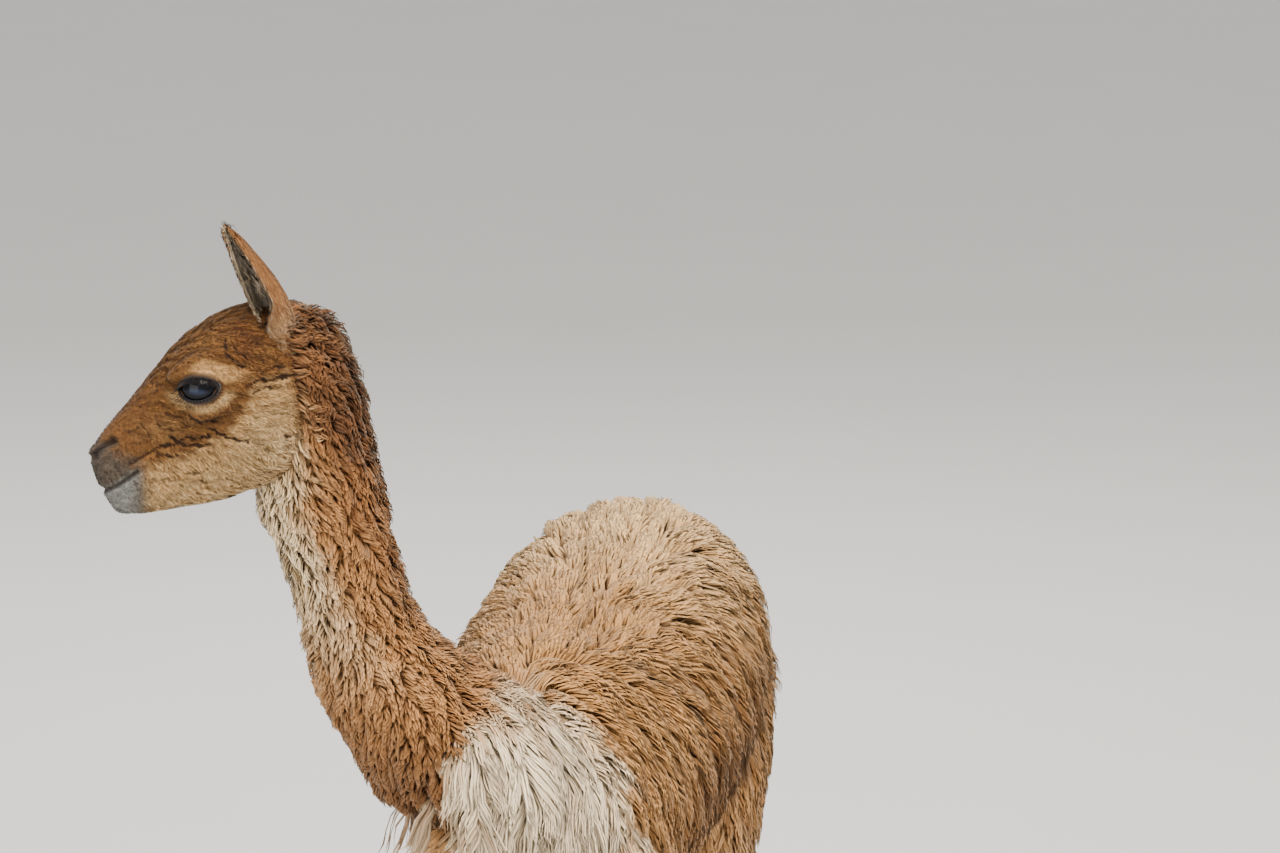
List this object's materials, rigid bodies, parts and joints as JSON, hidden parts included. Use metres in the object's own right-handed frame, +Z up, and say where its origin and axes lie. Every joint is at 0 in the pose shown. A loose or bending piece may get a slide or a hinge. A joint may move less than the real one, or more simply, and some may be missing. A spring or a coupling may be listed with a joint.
{
  "type": "vicuna",
  "caption": "Life-size standing vicuna, a still model as in a museum, with its neck leaning and its head turned to its right, in fawn fleece with a long cream bib.",
  "frame": {"origin": "on the floor, under the middle of the whole animal's box", "axes": "+Z up, -X the way the torso points, -Y the animal's left side"},
  "size_m": [1.0602, 0.5352, 1.3158],
  "materials": {
    "face_coat": "short, flat, cinnamon hair, paler on the cheeks and round the eyes, dark grey on the muzzle",
    "neck_coat": "dense, curly, rust to cinnamon wool, paler down the throat",
    "chest_coat": "cream bib of long, soft locks under fawn wool",
    "back_coat": "dense, soft, fawn fleece with paler tips, white under the belly",
    "tail_coat": "fawn wool, paler at the edges and the tip",
    "ear_coat": "short tan hair outside, dark grey inside with a pale rim",
    "leg_coat": "short, flat, fawn hair, white on the inner side",
    "foot_coat": "short brown hair, and grey skin under the pads",
    "eye": "wet, near-black, with a dark brown iris",
    "nail": "dark horn, worn smooth"
  },
  "bodies": {
    "root": {"head": "face_coat", "neck": "neck_coat", "chest": "chest_coat", "barrel": "back_coat", "hindquarters": "back_coat", "tail": "tail_coat", "ear_left": "ear_coat", "eye_left": "eye", "foreleg_left": "leg_coat", "hindleg_left": "leg_coat", "forefoot_left": "foot_coat", "hindfoot_left": "foot_coat", "forenail_left_outer": "nail", "forenail_left_inner": "nail", "hindnail_left_outer": "nail", "hindnail_left_inner": "nail", "ear_right": "ear_coat", "eye_right": "eye", "foreleg_right": "leg_coat", "hindleg_right": "leg_coat", "forefoot_right": "foot_coat", "hindfoot_right": "foot_coat", "forenail_right_outer": "nail", "forenail_right_inner": "nail", "hindnail_right_outer": "nail", "hindnail_right_inner": "nail"}
  },
  "joints": []
}
